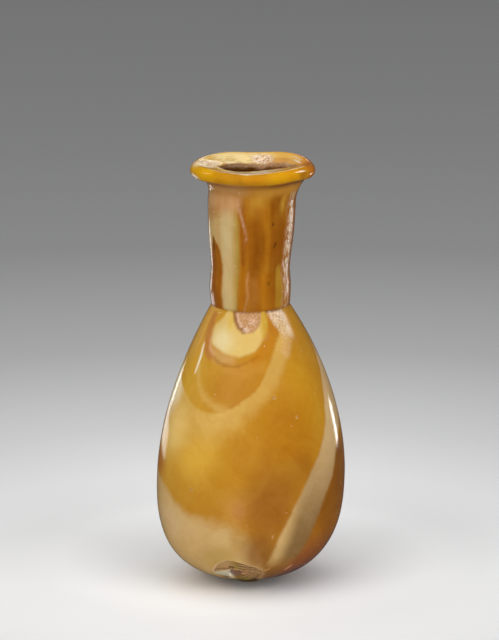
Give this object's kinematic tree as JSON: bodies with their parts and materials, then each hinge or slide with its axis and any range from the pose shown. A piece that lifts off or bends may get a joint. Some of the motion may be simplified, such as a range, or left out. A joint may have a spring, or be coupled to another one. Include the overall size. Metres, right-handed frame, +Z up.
{
  "type": "flask",
  "caption": "Small free-blown flask of marbled amber and white glass: pear-shaped body, short neck pinched at its base, wide folded lip.",
  "frame": {"origin": "middle of the small flat foot the flask stands on", "axes": "+Z up through the neck to the mouth, -Y towards the front with the scar, +X towards the narrow side of the lip"},
  "size_m": [0.0442, 0.044, 0.1005],
  "materials": {
    "marbled_glass": "gloss"
  },
  "bodies": {
    "root": {"flask": "marbled_glass"}
  },
  "joints": []
}
